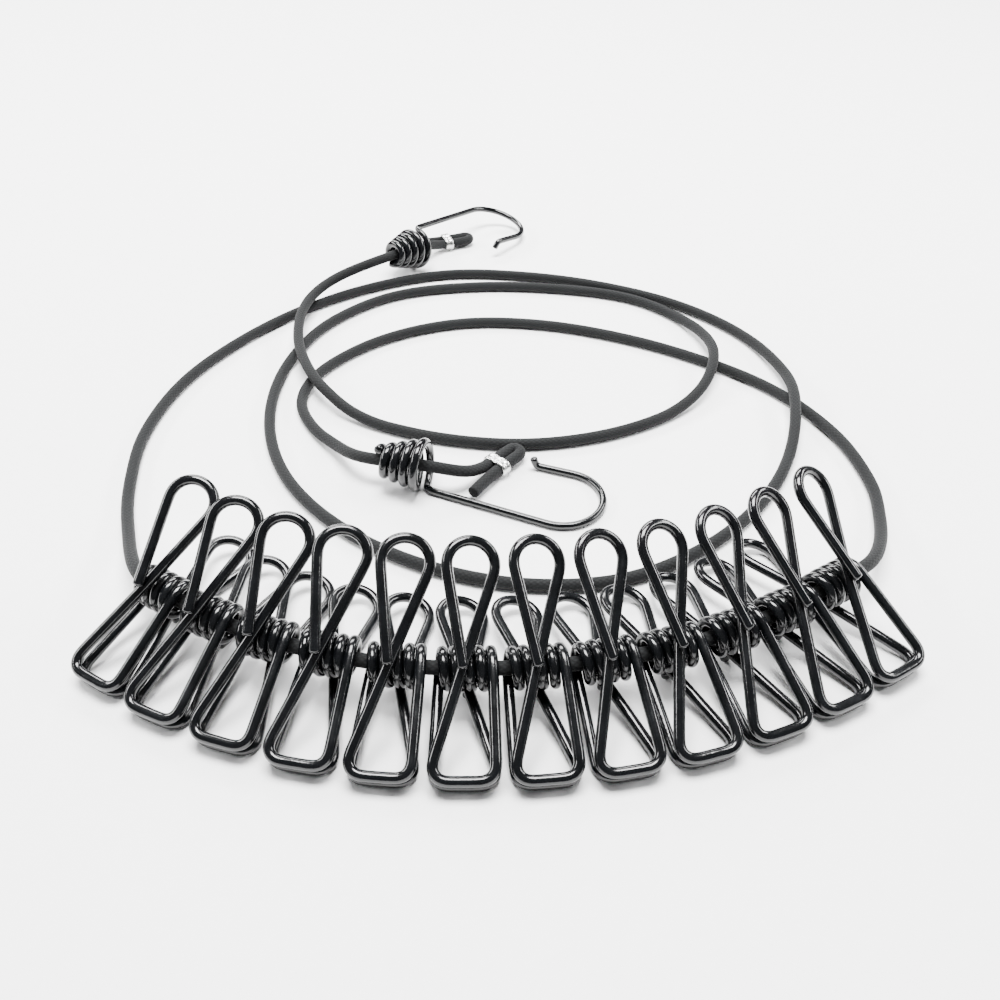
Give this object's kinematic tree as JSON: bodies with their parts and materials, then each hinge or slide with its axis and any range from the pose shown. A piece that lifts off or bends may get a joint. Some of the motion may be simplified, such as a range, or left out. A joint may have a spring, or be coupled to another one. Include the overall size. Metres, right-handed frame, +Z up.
{
  "type": "travel clothesline with clips",
  "caption": "Elastic travel clothesline with a wire hook on each end and black spring-wire clips threaded along the cord.",
  "frame": {"origin": "on the flat surface the line lies on, under the centre of the box round its clips and hooks", "axes": "+Z up from the surface, clip jaws towards -Y, clip handles, loose cord and hooks towards +Y, +X along the row of clips"},
  "size_m": [0.222, 0.2797, 0.0357],
  "materials": {
    "wire_coat": "glossy",
    "cord_cover": "matte woven",
    "crimp_metal": "satin"
  },
  "bodies": {
    "line_hooks_and_lower_arms": {"clip_01_coil_and_lower_arm": "wire_coat", "clip_02_coil_and_lower_arm": "wire_coat", "clip_03_coil_and_lower_arm": "wire_coat", "clip_04_coil_and_lower_arm": "wire_coat", "clip_05_coil_and_lower_arm": "wire_coat", "clip_06_coil_and_lower_arm": "wire_coat", "clip_07_coil_and_lower_arm": "wire_coat", "clip_08_coil_and_lower_arm": "wire_coat", "clip_09_coil_and_lower_arm": "wire_coat", "clip_10_coil_and_lower_arm": "wire_coat", "clip_11_coil_and_lower_arm": "wire_coat", "clip_12_coil_and_lower_arm": "wire_coat", "near_hook": "wire_coat", "far_hook": "wire_coat", "near_crimp": "crimp_metal", "far_crimp": "crimp_metal", "elastic_cord": "cord_cover", "near_cord_fold": "cord_cover", "far_cord_fold": "cord_cover"},
    "clip_01_arm": {"clip_01_upper_arm": "wire_coat"},
    "clip_02_arm": {"clip_02_upper_arm": "wire_coat"},
    "clip_03_arm": {"clip_03_upper_arm": "wire_coat"},
    "clip_04_arm": {"clip_04_upper_arm": "wire_coat"},
    "clip_05_arm": {"clip_05_upper_arm": "wire_coat"},
    "clip_06_arm": {"clip_06_upper_arm": "wire_coat"},
    "clip_07_arm": {"clip_07_upper_arm": "wire_coat"},
    "clip_08_arm": {"clip_08_upper_arm": "wire_coat"},
    "clip_09_arm": {"clip_09_upper_arm": "wire_coat"},
    "clip_10_arm": {"clip_10_upper_arm": "wire_coat"},
    "clip_11_arm": {"clip_11_upper_arm": "wire_coat"},
    "clip_12_arm": {"clip_12_upper_arm": "wire_coat"}
  },
  "joints": [
    {"name": "clip_01_squeeze", "type": "hinge", "parent": "line_hooks_and_lower_arms", "child": "clip_01_arm", "pos_m": [-0.08221, -0.08965, 0.01093], "axis": [-0.8606, 0.5091, 0.0083], "range_deg": [0, 24], "stiffness_Nm_per_rad": 0.1, "springref_deg": -20.05},
    {"name": "clip_02_squeeze", "type": "hinge", "parent": "line_hooks_and_lower_arms", "child": "clip_02_arm", "pos_m": [-0.06885, -0.09808, 0.01089], "axis": [-0.9105, 0.4136, 0], "range_deg": [0, 24], "stiffness_Nm_per_rad": 0.1, "springref_deg": -20.05},
    {"name": "clip_03_squeeze", "type": "hinge", "parent": "line_hooks_and_lower_arms", "child": "clip_03_arm", "pos_m": [-0.05443, -0.10467, 0.01093], "axis": [-0.9532, 0.3021, -0.0099], "range_deg": [0, 24], "stiffness_Nm_per_rad": 0.1, "springref_deg": -20.05},
    {"name": "clip_04_squeeze", "type": "hinge", "parent": "line_hooks_and_lower_arms", "child": "clip_04_arm", "pos_m": [-0.03931, -0.10959, 0.01093], "axis": [-0.9814, 0.1915, -0.0099], "range_deg": [0, 24], "stiffness_Nm_per_rad": 0.1, "springref_deg": -20.05},
    {"name": "clip_05_squeeze", "type": "hinge", "parent": "line_hooks_and_lower_arms", "child": "clip_05_arm", "pos_m": [-0.02369, -0.11265, 0.01091], "axis": [-0.9959, 0.0902, -0.0033], "range_deg": [0, 24], "stiffness_Nm_per_rad": 0.1, "springref_deg": -20.05},
    {"name": "clip_06_squeeze", "type": "hinge", "parent": "line_hooks_and_lower_arms", "child": "clip_06_arm", "pos_m": [-0.00781, -0.11371, 0.01091], "axis": [-1, -0.0086, 0.0033], "range_deg": [0, 24], "stiffness_Nm_per_rad": 0.1, "springref_deg": -20.05},
    {"name": "clip_07_squeeze", "type": "hinge", "parent": "line_hooks_and_lower_arms", "child": "clip_07_arm", "pos_m": [0.00806, -0.11324, 0.01093], "axis": [-0.9949, -0.1004, 0.0099], "range_deg": [0, 24], "stiffness_Nm_per_rad": 0.1, "springref_deg": -20.05},
    {"name": "clip_08_squeeze", "type": "hinge", "parent": "line_hooks_and_lower_arms", "child": "clip_08_arm", "pos_m": [0.02383, -0.11137, 0.01092], "axis": [-0.9818, -0.1897, 0.0066], "range_deg": [0, 24], "stiffness_Nm_per_rad": 0.1, "springref_deg": -20.05},
    {"name": "clip_09_squeeze", "type": "hinge", "parent": "line_hooks_and_lower_arms", "child": "clip_09_arm", "pos_m": [0.03932, -0.1079, 0.01092], "axis": [-0.9604, -0.2786, 0.0066], "range_deg": [0, 24], "stiffness_Nm_per_rad": 0.1, "springref_deg": -20.05},
    {"name": "clip_10_squeeze", "type": "hinge", "parent": "line_hooks_and_lower_arms", "child": "clip_10_arm", "pos_m": [0.05426, -0.10259, 0.01092], "axis": [-0.9296, -0.3684, 0.0066], "range_deg": [0, 24], "stiffness_Nm_per_rad": 0.1, "springref_deg": -20.05},
    {"name": "clip_11_squeeze", "type": "hinge", "parent": "line_hooks_and_lower_arms", "child": "clip_11_arm", "pos_m": [0.06852, -0.09571, 0.01096], "axis": [-0.8913, -0.4532, 0.0165], "range_deg": [0, 24], "stiffness_Nm_per_rad": 0.1, "springref_deg": -20.05},
    {"name": "clip_12_squeeze", "type": "hinge", "parent": "line_hooks_and_lower_arms", "child": "clip_12_arm", "pos_m": [0.08185, -0.08727, 0.01097], "axis": [-0.8464, -0.5321, 0.0198], "range_deg": [0, 24], "stiffness_Nm_per_rad": 0.1, "springref_deg": -20.05}
  ]
}
